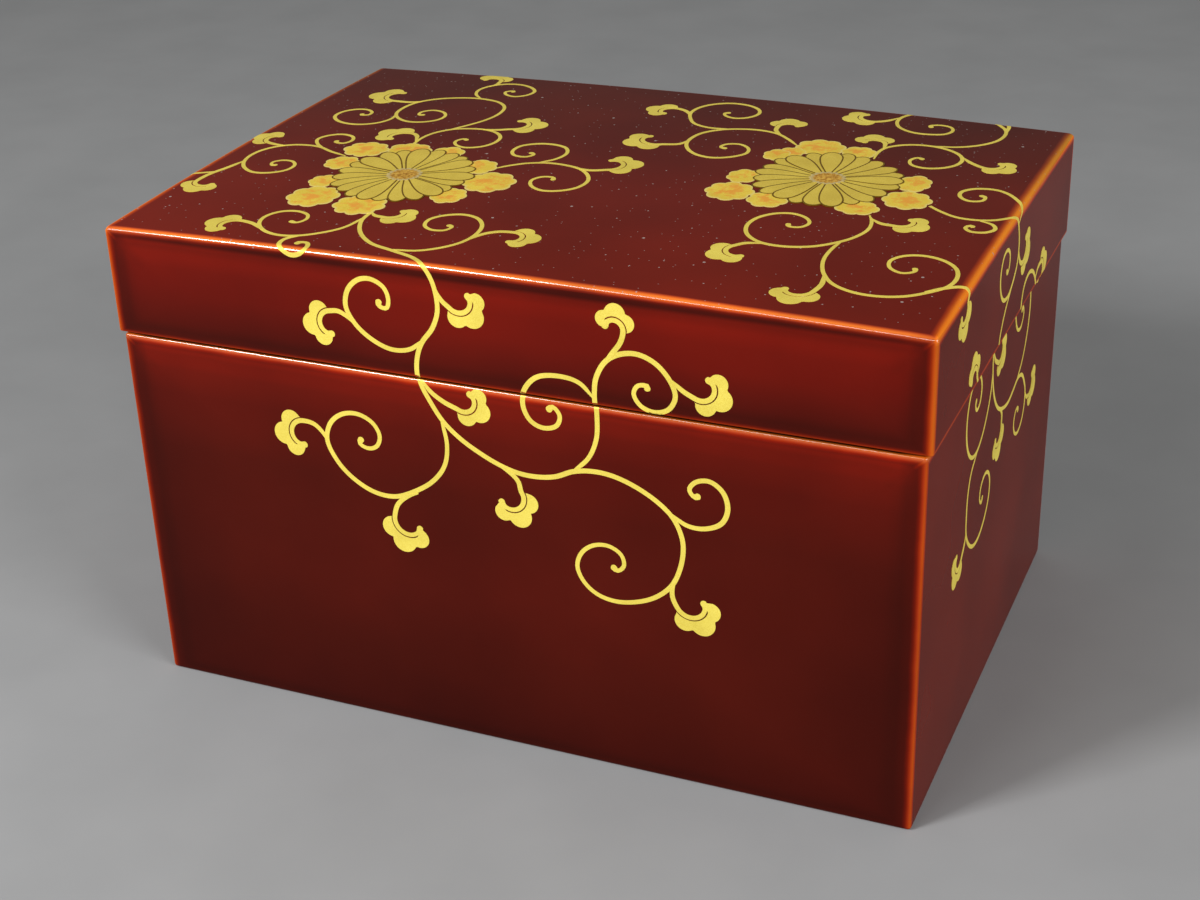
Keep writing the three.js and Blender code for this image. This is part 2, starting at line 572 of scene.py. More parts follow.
# Chrysanthemums: a stippled middle, a ring of petals that overlap their neighbours, and scalloped leaves
# that come out from under them. A petal's sizes are in millimetres on a flower of the mean radius. A leaf
# is its place, its half sizes and how many scallops it has.
Flower = namedtuple("Flower", "centre radius_x radius_y full_petals leaves")
PETALS = 23
FIRST_PETAL = 105.0
MEAN_RADIUS = 19.6
PETAL_WIDTH = 4.8
FULL_PETAL_WIDTH = 5.6
PETAL_LINE = 0.42
PETAL_FOOT = 3.0
PETAL_FOOT_WIDTH = 0.12
PETAL_FULLNESS = 1.25
PETAL_WIDEST = 15.4
PETAL_STEPS = 20
PETAL_COLUMNS = 6
MIDDLE_RADIUS = 4.9
MIDDLE_SCALLOPS = 16
SCALLOP = 0.15
SCALLOP_ROUNDNESS = 0.75

# How the petals differ from each other: in heading, in reach and in lean.
PETAL_TURNS = (-1.6, 1.6)
PETAL_REACHES = (-0.9, 0.3)
PETAL_LEANS = (-0.035, 0.035)
FLOWER_SEED = 7

# Rings and spokes of the round patches.
LEAF_GRID = (5, 96)
GROUND_GRID = (5, 69)
MIDDLE_GRID = (8, 64)


def petal(flower, index, width, grow, source):
    """Rows along one petal, which widens from a narrow foot to a round tip. grow widens it all round."""
    heading = math.radians(FIRST_PETAL + 360 / PETALS * index + source.uniform(*PETAL_TURNS))
    tip = MEAN_RADIUS + source.uniform(*PETAL_REACHES)
    lean = source.uniform(*PETAL_LEANS)
    centre = Vector(flower.centre)
    radii = Vector((flower.radius_x, flower.radius_y)) / MEAN_RADIUS
    rows = []
    for step in range(PETAL_STEPS + 1):
        if step <= PETAL_STEPS // 2:
            share = step / (PETAL_STEPS // 2)
            distance = PETAL_FOOT + (PETAL_WIDEST - PETAL_FOOT) * share
            swell = math.sin(math.pi / 2 * share) ** PETAL_FULLNESS
            half = width / 2 * (PETAL_FOOT_WIDTH + (1 - PETAL_FOOT_WIDTH) * swell) + grow
        else:
            angle = math.pi / 2 * (step / (PETAL_STEPS // 2) - 1)
            distance = PETAL_WIDEST + (tip - PETAL_WIDEST + grow) * math.sin(angle)
            half = (width / 2 + grow) * math.cos(angle)
        turn = heading + lean * (distance / MEAN_RADIUS) ** 2
        forward = Vector((math.cos(turn), math.sin(turn)))
        across = Vector((-forward.y, forward.x))
        ends = (forward * distance + across * half * side for side in (-1, 1))
        rows.append(spread(*(centre + end * radii for end in ends), PETAL_COLUMNS))
    return rows


def disc(centre, outline, rings, steps):
    """Rows round a patch whose outline is a distance for each angle, with a tint from middle to rim."""
    rows = []
    tints = []
    for step in range(steps + 1):
        angle = 2 * math.pi * step / steps
        rim = Vector(centre) + outline(angle) * Vector((math.cos(angle), math.sin(angle)))
        rows.append(spread(Vector(centre), rim, rings))
        tints.append([1 - column / rings for column in range(rings + 1)])
    return rows, tints


def scalloped(half_x, half_y, scallops, start):
    """Outline of an ellipse with rounded scallops."""

    def outline(angle):
        reach = 1 / math.hypot(math.cos(angle) / half_x, math.sin(angle) / half_y)
        bulge = abs(math.sin(scallops * angle / 2 + start)) ** SCALLOP_ROUNDNESS
        return reach * (1 - SCALLOP * (1 - bulge))

    return outline


# The painting's own lines, in flat coordinates of each face. The last points of a line curl into its eye.
TOP_VINES = (
    ((-59.5, 4), (-59.7, 9), (-58.5, 14), (-55, 18.5), (-51, 20.3), (-46, 20.8), (-41.5, 19), (-38.7, 15.5),
     (-38.2, 11), (-40, 7), (-44, 4.8), (-47.5, 6), (-49.2, 9), (-48, 11.5), (-46.3, 10.6)),
    ((-56, 17.5), (-52, 24), (-49.5, 30), (-48.7, 36), (-50, 42), (-53.5, 46), (-58, 47.8), (-63, 48.2),
     (-68, 47), (-73, 44.5), (-77, 40), (-78.5, 34), (-77.8, 28), (-75, 24), (-70.5, 21.8), (-66, 22.8),
     (-63, 26), (-63, 30), (-65.5, 33), (-69, 33.6), (-71.3, 31.3), (-70.7, 28.6), (-69, 29)),
    ((-60.5, 48.2), (-64, 52), (-65.3, 57), (-63.5, 62), (-60, 64.8), (-55.5, 65.3), (-51, 63),
     (-48.5, 59.5), (-49, 55.5), (-52, 53), (-55.3, 54.3), (-56.6, 57), (-55, 58.3), (-54.3, 57)),
    ((-77.6, 27.5), (-76.8, 23), (-78.5, 18.8), (-82.5, 16), (-87, 15.7), (-91.5, 17.7), (-94.3, 21.5),
     (-94, 26), (-91.3, 28.9), (-88, 29.3), (-85.4, 27.3), (-85.2, 24.8), (-87, 24.2), (-87.5, 25.5)),
    ((-73, -10.4), (-79, -8), (-83.5, -5.5), (-87.5, -4.8), (-92, -5.5), (-96, -8), (-98.5, -12),
     (-99.2, -17), (-98, -22), (-95.3, -26), (-91, -28.6), (-86.5, -28), (-83, -25), (-82.7, -21),
     (-85, -18.2), (-88, -18), (-90, -20), (-89, -22.2), (-87.5, -21.8)),
    ((-82, -6.2), (-86, -3), (-88, 1), (-86.3, 4.7), (-83, 6.3), (-79.3, 5), (-77.8, 1.8), (-79, -0.8),
     (-81.5, -0.5), (-81.8, 1)),
    ((-44.8, -50), (-46.5, -58), (-50, -62.5), (-55, -66), (-60, -67), (-65, -65.5), (-69, -61.5),
     (-70, -57), (-68, -53), (-64, -51.5), (-60, -53), (-58.7, -56), (-60, -58.5), (-62.3, -58)),
    ((-29, -67.7), (-22, -66.5), (-17, -63), (-13.8, -58.5), (-12.7, -53), (-13.7, -47.5), (-17, -43.3),
     (-21.5, -42), (-26, -44), (-28.3, -47.5), (-27.5, -51.5), (-24.5, -53.5), (-21.3, -52.8),
     (-20.6, -50.3), (-22.3, -49.5)),
    ((-29, -9), (-26, -5.5), (-22, -2.3), (-17, -0.6), (-12, -0.8), (-7, -2.5), (-3, -6.5), (-1.2, -11),
     (-2, -16), (-5.5, -19.5), (-10, -20.5), (-14, -18), (-15.5, -14), (-13.8, -11), (-11, -10.7),
     (-10.2, -12.8)),
    ((-20, -1.5), (-16.3, 3), (-15.4, 8), (-17.5, 12.3), (-21.5, 14), (-26, 13.5), (-29.8, 10.5),
     (-30.4, 6), (-28.5, 2.7), (-25, 2.2), (-23.5, 4.5), (-25.3, 6)),
    ((41, 34), (36.5, 39), (32.5, 42.3), (27, 43.7), (21.5, 42.8), (16.5, 40.3), (13, 36), (11.8, 31),
     (12.2, 26), (14.7, 21), (18.5, 17.8), (23, 17), (27.5, 19.3), (30.2, 23.3), (29.3, 27.5), (26, 30),
     (22.8, 29), (21.9, 26.3), (24, 25.2)),
    ((19, 41.9), (13, 41.3), (8, 43.5), (5, 48), (3.3, 53), (3.8, 58.5), (6.5, 63), (11, 65.6),
     (16, 65.3), (20.3, 62.3), (21.8, 58), (20.3, 54), (17, 52), (13.8, 53.2), (12.6, 55.5), (14, 56.7)),
    ((63.3, 30.5), (62.8, 35), (63.5, 40), (66, 43.5), (70, 45.8), (74.5, 46.4), (79.5, 45),
     (83.5, 41.7), (85.2, 37.5), (84.5, 33), (81.5, 29.5), (77.5, 28), (73.8, 29.3), (72.5, 32.8),
     (73.8, 35.5), (75.7, 34.5)),
    ((74.5, 46.4), (81, 48), (86, 51.5), (89.5, 56.5), (90.7, 62), (90, 67.5), (87.5, 71.5), (84, 75.5),
     (79, 80), (74, 83), (68.5, 83), (64.5, 79), (62.3, 73.5), (60.3, 69), (60.3, 64), (62.3, 59.5),
     (66.5, 56.5), (71, 56.2), (75.3, 58), (76.6, 61.5), (75.3, 64.8), (72.3, 65.7), (69.8, 64.3),
     (70.5, 62.5)),
    ((100, -4.5), (103.5, -6), (104.7, -9), (102.8, -11.7), (99.5, -12.2), (97.8, -10.3), (98.5, -8.6),
     (99.8, -9.3)),
    ((74, -10.5), (75.7, -14.5), (76.3, -20), (74.5, -26), (71, -31), (66.5, -34.8), (60.5, -36.8),
     (54.5, -36.2), (50, -32.5), (48, -27), (48.7, -21.5), (51.8, -17.3), (56, -15.8), (60, -17.5),
     (61.8, -20.8), (60.5, -23.8), (57.8, -24.2), (57, -22.4)),
    ((72.6, -28.5), (71.7, -35), (72, -42), (74.3, -49), (78, -54), (83.5, -56.8), (89.5, -57),
     (95, -55), (99.5, -51), (102.7, -46.5), (103.5, -41), (101.8, -35.5), (97.8, -32), (93, -31),
     (88.8, -32.7), (86.6, -36.5), (87.7, -40.7), (91, -42.6), (93.5, -40.8), (93, -38.7)),
)
TOP_LEAVES = (
    Leaf(((-46.5, 20.8), (-42.5, 21.5)), (-40, 27.4), 4.4, -80, 180),
    Leaf(((-63.7, 61), (-62.8, 64)), (-66.2, 66.6), 3.2, -5, 180),
    Leaf(((-76, 41), (-79.5, 39.4)), (-84.3, 44.3), 4.9, -85, -175),
    Leaf(((-60, 6), (-62, 10.5)), (-65.2, 8), 4.2, 75, 155),
    Leaf(((-94, -6.7), (-97.5, -6.4)), (-99, -2.2), 3.5, -110, -160),
    Leaf(((-98.4, -21), (-100, -27), (-102, -33)), (-99, -38.2), 3.5, 180, 160),
    Leaf(((-45, -46.8), (-43, -48.8)), (-39.6, -45.9), 3.5, 255, 155),
    Leaf(((-66, -65), (-70.5, -62)), (-74.8, -64.6), 3.6, 85, 170),
    Leaf(((-12.9, -56.5), (-11, -52.3), (-8, -49.8)), (-4.2, -52.6), 3.5, 100, -180),
    Leaf(((-8.5, -2), (-4, -2.7)), (-1.3, 3), 4.3, -75, 185),
    Leaf(((4.2, 50.2), (1.5, 54)), (-2.2, 52.2), 3.5, 80, 175),
    Leaf(((11.9, 29), (10.5, 25)), (3.6, 27), 4.6, -55, -170),
    Leaf(((34, 41.3), (31.3, 45)), (33.9, 49), 3.2, 190, -165),
    Leaf(((63.3, 39.5), (63, 42)), (59.5, 43), 3.2, 15, 175),
    Leaf(((84.9, 39.8), (88, 36.3)), (93, 37), 3.4, 245, 165),
    Leaf(((59.7, 68), (57.5, 64.5)), (53.2, 66.2), 4.1, -65, -165),
    Leaf(((75, -12.5), (78, -14.8)), (82.2, -11.8), 3.5, 255, 160),
    Leaf(((55.5, -36.6), (51.5, -37.8)), (52.2, -42.8), 3.9, 135, 165),
    Leaf(((74.6, -49.5), (75.7, -55)), (71.4, -59), 3.8, -5, -170),
)
FRONT_VINES = (
    ((-45, 159.7), (-44.5, 153.7), (-41, 146.7), (-35, 141.2), (-28, 138.7), (-21, 136.2), (-17.3, 133.4),
     (-15, 130), (-13.9, 126), (-13.8, 121.5), (-15.5, 117), (-18.5, 113), (-20, 109.5), (-20.6, 105),
     (-20, 101.5), (-17.5, 96.5), (-14.5, 92), (-10, 88), (-5, 85), (0, 82.7), (5, 81.3), (10, 81.1),
     (15, 82), (20, 84.3), (25, 85.2), (30, 84.9), (36, 83), (42, 79.6), (45.7, 76), (47.8, 71),
     (48, 67), (47, 62), (45, 57.5), (41, 53.5), (36, 51), (30, 49.9), (25, 51), (21.5, 54), (20, 58),
     (21.3, 62), (24.5, 64.7), (28.5, 65.3), (31.8, 63.5), (32.5, 60.5), (30.8, 58.8), (29.2, 60)),
    ((-53.5, 141.6), (-57, 138), (-57.3, 135.5), (-56, 132.8), (-53, 131.2), (-50, 132.3),
     (-49.2, 134.5), (-50.5, 136.9), (-52.6, 136.6), (-52.6, 135.3)),
    ((-17.7, 114), (-22, 110.6), (-27, 109.8), (-32, 111.5), (-36.5, 115), (-38.9, 119.5), (-38, 124),
     (-35, 127), (-31.5, 127.7), (-28, 126), (-26.9, 123), (-27.6, 120.6), (-29.6, 121), (-29.5, 122.7)),
    ((-15.2, 93), (-14, 86), (-15, 80), (-18.5, 75), (-24, 71), (-30, 68.4), (-36, 68.7), (-42, 71.8),
     (-46, 76), (-48.3, 81.5), (-46.8, 86.5), (-43, 89.6), (-38.5, 90.2), (-34.5, 88.3), (-32.9, 85),
     (-34, 82), (-36.5, 81), (-38.8, 82), (-38, 83.8)),
    ((19.5, 84), (24, 88.5), (26.3, 94), (26.7, 100), (26.4, 106), (27, 110.5), (29.5, 115),
     (33, 117.3), (37.5, 118), (42, 116.3), (45.5, 112.5), (46.8, 108.5), (45, 105), (41.5, 103.8),
     (38, 105), (36.4, 107.8), (37.5, 110), (39.7, 110.2), (39.8, 108.9)),
    ((26.4, 104.8), (22.5, 108.5), (17, 109.4), (11.5, 108.2), (8.2, 104.5), (7.4, 100), (9.2, 96.2),
     (12.5, 94.8), (16, 95.9), (17, 98.7), (15.3, 100.8), (13.7, 99.5)),
    ((44.5, 77.6), (49, 74.9), (53.5, 74.8), (57.8, 77), (59.4, 81), (58.3, 85.3), (55, 87.7),
     (51.5, 87), (49.8, 84.7), (51, 83), (52.6, 83.5)),
)
FRONT_LEAVES = (
    Leaf(((-36.8, 115.1), (-39, 117), (-41.2, 118)), (-43.3, 114.3), 3.5, 92, 190),
    Leaf(((-14.2, 128.5), (-13.5, 126.3), (-12.4, 124.6)), (-8, 125.6), 3.6, 222, 178),
    Leaf(((-19.9, 103), (-17.5, 99.8), (-14, 97.5)), (-8.7, 98.9), 3.3, 236, 186),
    Leaf(((-1, 83), (2.5, 81.3), (5, 79)), (2.5, 74.2), 3.8, 35, -195),
    Leaf(((-23.2, 70.6), (-26.5, 69), (-29.3, 66.3)), (-26.3, 62), 4.3, 163, 180),
    Leaf(((-47.7, 80.3), (-49.5, 83.5), (-51.8, 85.4)), (-54.8, 81.9), 3.9, 90, 190),
    Leaf(((28.7, 114), (31, 117), (33.3, 120.2)), (31.6, 123.3), 2.6, -15, 195),
    Leaf(((45, 113.2), (46.8, 111.8), (48.8, 110.3)), (53.2, 112), 3.5, 238, 188),
    Leaf(((46.6, 61.3), (45.2, 57.5), (45.1, 54.3)), (50, 53.5), 4.2, 212, 172),
)
RIGHT_VINES = (
    ((1, 154.7), (-1.8, 151.2), (-4.2, 146.7), (-4.3, 141.7), (-2.8, 137.7), (0, 134.5), (3, 132),
     (5, 129), (6.5, 124.5), (5.8, 119.5), (2, 116), (-3, 114), (-8.5, 115), (-12.3, 119),
     (-13, 123.5), (-10.8, 127), (-7, 127.6), (-3.8, 125.5), (-3.5, 122.5), (-5.3, 121), (-6.7, 122.2)),
    ((4.5, 130), (9, 133), (13, 135.5), (16.5, 138.5), (18.3, 142), (17.3, 147), (13.8, 149.8),
     (10, 149.2), (8, 146.5), (9.2, 143.6), (12, 143.4), (12.9, 145)),
    ((2, 116), (-4.5, 111.5), (-8, 108), (-10, 104.5), (-10, 100), (-9.3, 95), (-7.5, 90), (-4, 85),
     (0.5, 81.3), (6, 79), (12, 78), (18, 79), (23, 80.1), (28, 78.8), (31.5, 75.5), (34, 71.5),
     (34, 67), (31.5, 63.3), (27, 62), (22.8, 64), (21.2, 67.5), (22.8, 70.3), (25.3, 70.3), (26, 68.7)),
    ((-9.6, 97), (-10.5, 91), (-13.5, 86), (-18, 82), (-23, 80.2), (-28, 81), (-32.5, 84.5),
     (-35.3, 90), (-35.3, 96), (-32.5, 100.8), (-28, 102.4), (-23.5, 101), (-21.3, 97), (-22.5, 93.5),
     (-25.5, 92.8), (-27.3, 94.8), (-26.3, 96.3)),
    ((-22, 80.2), (-28, 76.5), (-30.3, 71.5), (-30.5, 66), (-29.8, 60.5), (-26, 55.5), (-20.5, 52.3),
     (-14.5, 52), (-9, 54.5), (-5.5, 59), (-5.5, 64), (-8.5, 67.5), (-12.5, 68.3), (-15.8, 66.3),
     (-16.2, 63.3), (-14, 61.5), (-12.8, 63)),
    ((21, 79.8), (27, 83.5), (31, 89), (32.8, 95), (32.6, 100), (31, 105), (27, 109), (21.5, 110.6),
     (16.5, 108.8), (14.3, 104), (15.6, 99), (18.5, 95.8), (22.3, 95.2), (24.8, 97.8), (23.5, 100.3),
     (21.7, 99.5)),
)
RIGHT_LEAVES = (
    Leaf(((-51, 141.6), (-47.8, 138.3), (-45.6, 135), (-46, 132)), (-50.4, 129.2), 3.5, 20, -190),
    Leaf(((-30.5, 101.9), (-32.3, 103.8)), (-36.3, 105.6), 3.1, 0, 190),
    Leaf(((-9.9, 101.7), (-7.5, 98.3)), (-2.3, 99.3), 3.6, 230, 170),
    Leaf(((1.5, 80.8), (4.5, 78)), (1.2, 74.2), 3.8, 15, -185),
    Leaf(((-29.9, 61.5), (-31, 58.5)), (-36.6, 57.8), 3.6, -30, -190),
    Leaf(((6.6, 122), (8.5, 118.9)), (12.2, 121.2), 4, 245, 170),
    Leaf(((30.6, 105.6), (33, 107.6)), (36.7, 104.8), 3.4, 105, -175),
    Leaf(((33.9, 71), (36.2, 68.6)), (39.6, 71.4), 3.7, 245, 165),
)
FLOWERS = (
    Flower((-49.8, -20), 18.9, 20.4, (0, 3, 10, 14, 17, 19), (
        (-70, -4, 6.6, 6.1, 8), (-71, -15.8, 4.9, 5.2, 7), (-68.4, -30, 4.2, 4.6, 7),
        (-65.3, -41, 7.1, 7.5, 8), (-50.4, -43.2, 7.2, 7, 9), (-31.2, -31, 4.8, 5.5, 7),
        (-25.5, -19, 7.2, 7.6, 8), (-33.5, -9, 5.3, 5.7, 7), (-46.7, -1, 4.8, 5.2, 6),
        (-58, -1.2, 6.5, 5.3, 7),
    )),
    Flower((56.5, 11.3), 19.2, 20.4, (0, 2, 9, 11, 12, 17), (
        (47.4, 34.6, 6.9, 6.8, 8), (58.1, 34, 4.9, 4.9, 7), (41.4, 28.4, 3.7, 3.9, 6),
        (38.3, 24.8, 3.7, 4.7, 6), (35.6, 5.8, 4.4, 5.3, 7), (36, -6, 6.5, 6.8, 8),
        (47, -8.6, 5.4, 5.6, 7), (69.6, -6.6, 5.8, 4.9, 7), (79.8, 2.8, 6.4, 6.6, 8),
        (78.4, 15.2, 4.4, 6.3, 7),
    )),
)

# The back and the left side, which the photograph doesn't show, take fewer of the same lines, moved along
# so that they go on from the vines that run over the lid's edges there. Each has a stem of its own down to
# JOIN_HEIGHT, and then the other side's main vine.
Carried = namedtuple("Carried", "stem shift vine_numbers leaf_numbers")
BACK = Carried(
    ((-90.3, 138.9), (-90, 134.5), (-88, 130), (-86.5, 124)), -72.5, (4, 5, 6), (1, 2, 3, 6, 7, 8),
)
LEFT = Carried(((30.5, 139.8), (33.5, 133.5), (35.3, 128), (35, 121.5)), 29.0, (2, 3, 5), (2, 3, 5))
JOIN_HEIGHT = 121.0


def moved(points, shift):
    return tuple((a + shift, b) for a, b in points)


def moved_leaf(leaf, shift):
    return leaf._replace(stalk=moved(leaf.stalk, shift), centre=moved([leaf.centre], shift)[0])


def carried_over(carried, vines, leaves):
    """Vines and leaves of a side that doesn't show, from those of a side that does."""
    stem, shift, vine_numbers, leaf_numbers = carried
    first = next(index for index, point in enumerate(vines[0]) if point[1] < JOIN_HEIGHT)
    lines = [stem + moved(vines[0][first:], shift)]
    lines += [moved(vines[number], shift) for number in vine_numbers]
    return lines, [moved_leaf(leaves[number], shift) for number in leaf_numbers]


def paint_lines(paintings, face, vines, leaves, width=1.0):
    """Vines and curled leaves of one face, on every piece that they reach."""
    for painting in paintings:
        for index, points in enumerate(vines):
            painting.lay(face, stroke(points, width, index > 0), VINE_LIFT + LIFT_STEP * index)
        for leaf in leaves:
            painting.lay(face, leaf_lobes(leaf), LOBE_LIFT)
            painting.lay(face, leaf_crescent(leaf), CRESCENT_LIFT)


def paint_flower(flower, leaves, petals, lines, middles, source):
    """Leaves, ground, petals with the dark lines between them, and middle, each above the last."""
    for index, (*place, half_x, half_y, scallops) in enumerate(flower.leaves):
        outline = scalloped(half_x, half_y, scallops, source.uniform(0, math.pi))
        rows, tints = disc(place, outline, *LEAF_GRID)
        leaves.lay("top", rows, FLOWER_LEAF_LIFT + LIFT_STEP * index, tints)
    rows, _ = disc(flower.centre, scalloped(PETAL_WIDEST, PETAL_WIDEST, PETALS, 0), *GROUND_GRID)
    petals.lay("top", rows, GROUND_LIFT)
    order = [index for index in range(PETALS) if index not in flower.full_petals]
    lift = PETAL_LIFT
    for index in (*order, *flower.full_petals):
        width = FULL_PETAL_WIDTH if index in flower.full_petals else PETAL_WIDTH
        seed = source.random()
        lines.lay("top", petal(flower, index, width, PETAL_LINE, random.Random(seed)), lift)
        petals.lay("top", petal(flower, index, width, 0, random.Random(seed)), lift + LIFT_STEP)
        lift += 2 * LIFT_STEP
    outline = scalloped(MIDDLE_RADIUS, MIDDLE_RADIUS, MIDDLE_SCALLOPS, 0)
    rows, tints = disc(flower.centre, outline, *MIDDLE_GRID)
    middles.lay("top", rows, lift, tints)


# Materials.


def operator(operation):
    def method(first, second):
        return first.finish.maths(operation, first, second)

    return method


class Value:
    """What a node of a finish puts out. Arithmetic with it adds nodes."""

    def __init__(self, finish, socket):
        self.finish = finish
        self.socket = socket

    __add__ = operator("ADD")
    __sub__ = operator("SUBTRACT")
    __mul__ = operator("MULTIPLY")
    __truediv__ = operator("DIVIDE")
    least = operator("MINIMUM")
    most = operator("MAXIMUM")

    def __rsub__(self, other):
        return self.finish.maths("SUBTRACT", other, self)


class Finish:
    """A material with its shader, and the place on the object in millimetres."""

    def __init__(self, name):
        self.material = bpy.data.materials.new(name)
        self.material.use_nodes = True
        self.tree = self.material.node_tree
        place = self.add("ShaderNodeTexCoord")["Object"]
        self.place = self.add("ShaderNodeVectorMath", {0: place, 3: 1 / MM}, operation="SCALE")[0]
        axes = self.add("ShaderNodeSeparateXYZ", {0: self.place})
        self.x, self.y, self.z = (axes[index] for index in range(3))

    def feed(self, item, values):
        """Sets or links a node's sockets."""
        for socket, value in values.items():
            if isinstance(value, Value):
                self.tree.links.new(value.socket, item.inputs[socket])
            else:
                item.inputs[socket].default_value = value

    def add(self, kind, values=None, **settings):
        """What a new node puts out, by index and by name."""
        item = self.tree.nodes.new(kind)
        for key, value in settings.items():
            setattr(item, key, value)
        self.feed(item, values or {})
        outputs = {socket.name: Value(self, socket) for socket in item.outputs}
        return outputs | {index: Value(self, socket) for index, socket in enumerate(item.outputs)}

    def shade(self, values):
        """Sets or links the shader's sockets."""
        self.feed(self.tree.nodes["Principled BSDF"], values)
        return self.material

    def maths(self, operation, first, second=0.0, clamp=False):
        return self.add("ShaderNodeMath", {0: first, 1: second}, operation=operation, use_clamp=clamp)[0]

    def mix(self, factor, first, second, blend="MIX"):
        return self.add(
            "ShaderNodeMix", {0: factor, 6: first, 7: second}, data_type="RGBA", blend_type=blend,
        )[2]

    def ramp(self, factor, stops):
        value = self.add("ShaderNodeValToRGB", {0: factor})[0]
        elements = value.socket.node.color_ramp.elements
        for index, (place, colour) in enumerate(stops):
            element = elements[index] if index < 2 else elements.new(place)
            element.position = place
            element.color = (*colour, 1.0)
        return value

    def greys(self, factor, start, first, stop, last):
        """From a grey up to start to another from stop on."""
        return self.ramp(factor, ((start, (first,) * 3), (stop, (last,) * 3)))

    def mask(self, reach, start, stop):
        """From 0 up to start to 1 from stop on."""
        return self.greys(reach / MASK_SPAN, start / MASK_SPAN, 0.0, stop / MASK_SPAN, 1.0)

    def noise(self, scale, detail=2.0, roughness=0.5):
        values = {"Vector": self.place, "Scale": scale, "Detail": detail, "Roughness": roughness}
        return self.add("ShaderNodeTexNoise", values)["Fac"]

    def bump(self, strength, distance, height):
        values = {"Strength": strength, "Distance": distance, "Height": height}
        return self.add("ShaderNodeBump", values)[0]


# How far from an arris the lacquer's tone settles, the reach of the finer masks, and the lacquer's tones
# from the arris inwards.
TONE_SPAN = 60.0
MASK_SPAN = 10.0
ARRIS_TONES = (
    (0.0, (0.60, 0.15, 0.012)),
    (0.6, (0.50, 0.078, 0.005)),
    (1.1, (0.30, 0.024, 0.001)),
    (1.6, (0.13, 0.0060, 0.001)),
    (2.2, (0.054, 0.0034, 0.0012)),
    (4.0, (0.044, 0.0030, 0.0012)),
    (7.0, (0.056, 0.0034, 0.0014)),
    (22.0, (0.070, 0.0042, 0.0016)),
    (60.0, (0.086, 0.0050, 0.0020)),
)

# How wide the pale band is along each kind of arris, as a share of the reaches above, and how far into it
# the bands of the upright and the lower ones start; low_end_start is the lower ones' start on the ends.
ArrisWidths = namedtuple("ArrisWidths", "long upright upright_start end low low_start low_end_start")
LID_WIDTHS = ArrisWidths(0.95, 1.22, 0.1, 1.5, 0.8, 0.85, 0.3)
BODY_WIDTHS = ArrisWidths(1.0, 1.35, 0.55, 1.4, 0.8, 1.3, 1.3)

# Painted light on the lacquer: the least tones of the ends and of the top, how much paler the lid's upper
# arris is at the ends, and the top's tone from front to back as a share of the rest.
END_PAINTED_LIGHT = (0.124, 0.0110, 0.0046, 1.0)
END_ARRIS_PAINTED_LIGHT = (1.6, 2.0, 1.4, 1.0)
TOP_PAINTED_LIGHT = (0.135, 0.0082, 0.0028, 1.0)
TOP_DEPTH_PAINTED_LIGHT = ((0.0, (1.2, 1.2, 1.1)), (0.5, (0.9, 1.1, 1.1)), (1.0, (0.62, 1.0, 1.1)))

# How far from an upright arris the painted light and shade by height set in, how far from an end its own
# painted least tone stops, and where on the lid's height its upper arris and its top begin.
HEIGHT_START = 1.5
HEIGHT_FULL = 6.5
END_START = 0.6
END_STOP = 1.2
UPPER_ARRIS = (0.93, 0.98)
TOP_FACE = 0.985

# Painted light and shade on the lacquer from a piece's lower edge to its upper one, lighter towards the
# top. The lid's last is the top face's, and the body's last is painted shade in the seam.
LID_HEIGHT_PAINTED_LIGHT = (
    (0.0, (1.0, 1.0, 1.0)),
    (0.1, (1.15, 1.1, 1.0)),
    (0.28, (1.5, 1.2, 1.1)),
    (0.52, (1.95, 1.3, 1.1)),
    (0.69, (2.25, 1.5, 1.2)),
    (0.83, (3.0, 1.9, 1.4)),
    (0.905, (2.8, 1.8, 1.4)),
    (0.94, (1.0, 1.0, 1.0)),
    (0.98, (1.0, 1.0, 1.0)),
    (1.0, (1.2, 1.5, 1.8)),
)
BODY_HEIGHT_PAINTED_LIGHT_AND_SHADE = (
    (0.0, (0.8, 0.9, 0.9)),
    (0.03, (0.8, 0.9, 0.9)),
    (0.2, (0.78, 0.95, 0.95)),
    (0.7, (0.94, 1.1, 1.1)),
    (0.854, (1.4, 1.3, 1.2)),
    (0.922, (2.05, 1.7, 1.4)),
    (0.951, (2.9, 2.0, 1.5)),
    (0.972, (3.4, 2.2, 1.6)),
    (0.983, (1.9, 1.55, 1.4)),
    (0.9974, (0.85, 1.0, 1.1)),
    (0.9989, (0.04, 0.04, 0.04)),
)


def arris_distance(finish, half_x, half_y, low, high, crowned, widths):
    """How far a point of a piece's outside is from the nearest arris, in the measure of ARRIS_TONES; how
    far it is from a long upper one, from an end and from an upright arris; and its share of the height."""
    inset_x = half_x - finish.maths("ABSOLUTE", finish.x)
    inset_y = half_y - finish.maths("ABSOLUTE", finish.y)
    above_low = finish.z - low
    below_top = high - finish.z
    if crowned:
        for place, half, swell in ((finish.x, half_x, CROWN_ACROSS), (finish.y, half_y, CROWN_ALONG)):
            share = place / half
            below_top += (1.0 - share * share) * swell
    from_upright = inset_x.most(inset_y)
    from_long = inset_y.most(below_top)
    upright = from_upright / widths.upright + widths.upright_start
    upper = (inset_x.most(below_top) / widths.end).least(from_long / widths.long)
    on_side = finish.maths("MULTIPLY", inset_x, 1.0, clamp=True)
    later = on_side * (widths.low_start - widths.low_end_start)
    lower = inset_x.least(inset_y).most(above_low) / widths.low + later + widths.low_end_start
    height = finish.maths("DIVIDE", above_low, high - low, clamp=True)
    return upright.least(upper.least(lower)), from_long, inset_x, from_upright, height


# Dust on the top: specks per millimetre, their reach, the share of cells that have one, and how much each
# covers.
DUST = ((0.3, 0.15, 0.3, 0.5), (0.14, 0.22, 0.3, 0.7), (0.045, 0.36, 0.4, 0.8))
DUST_COLOUR = (0.46, 0.38, 0.35, 1.0)

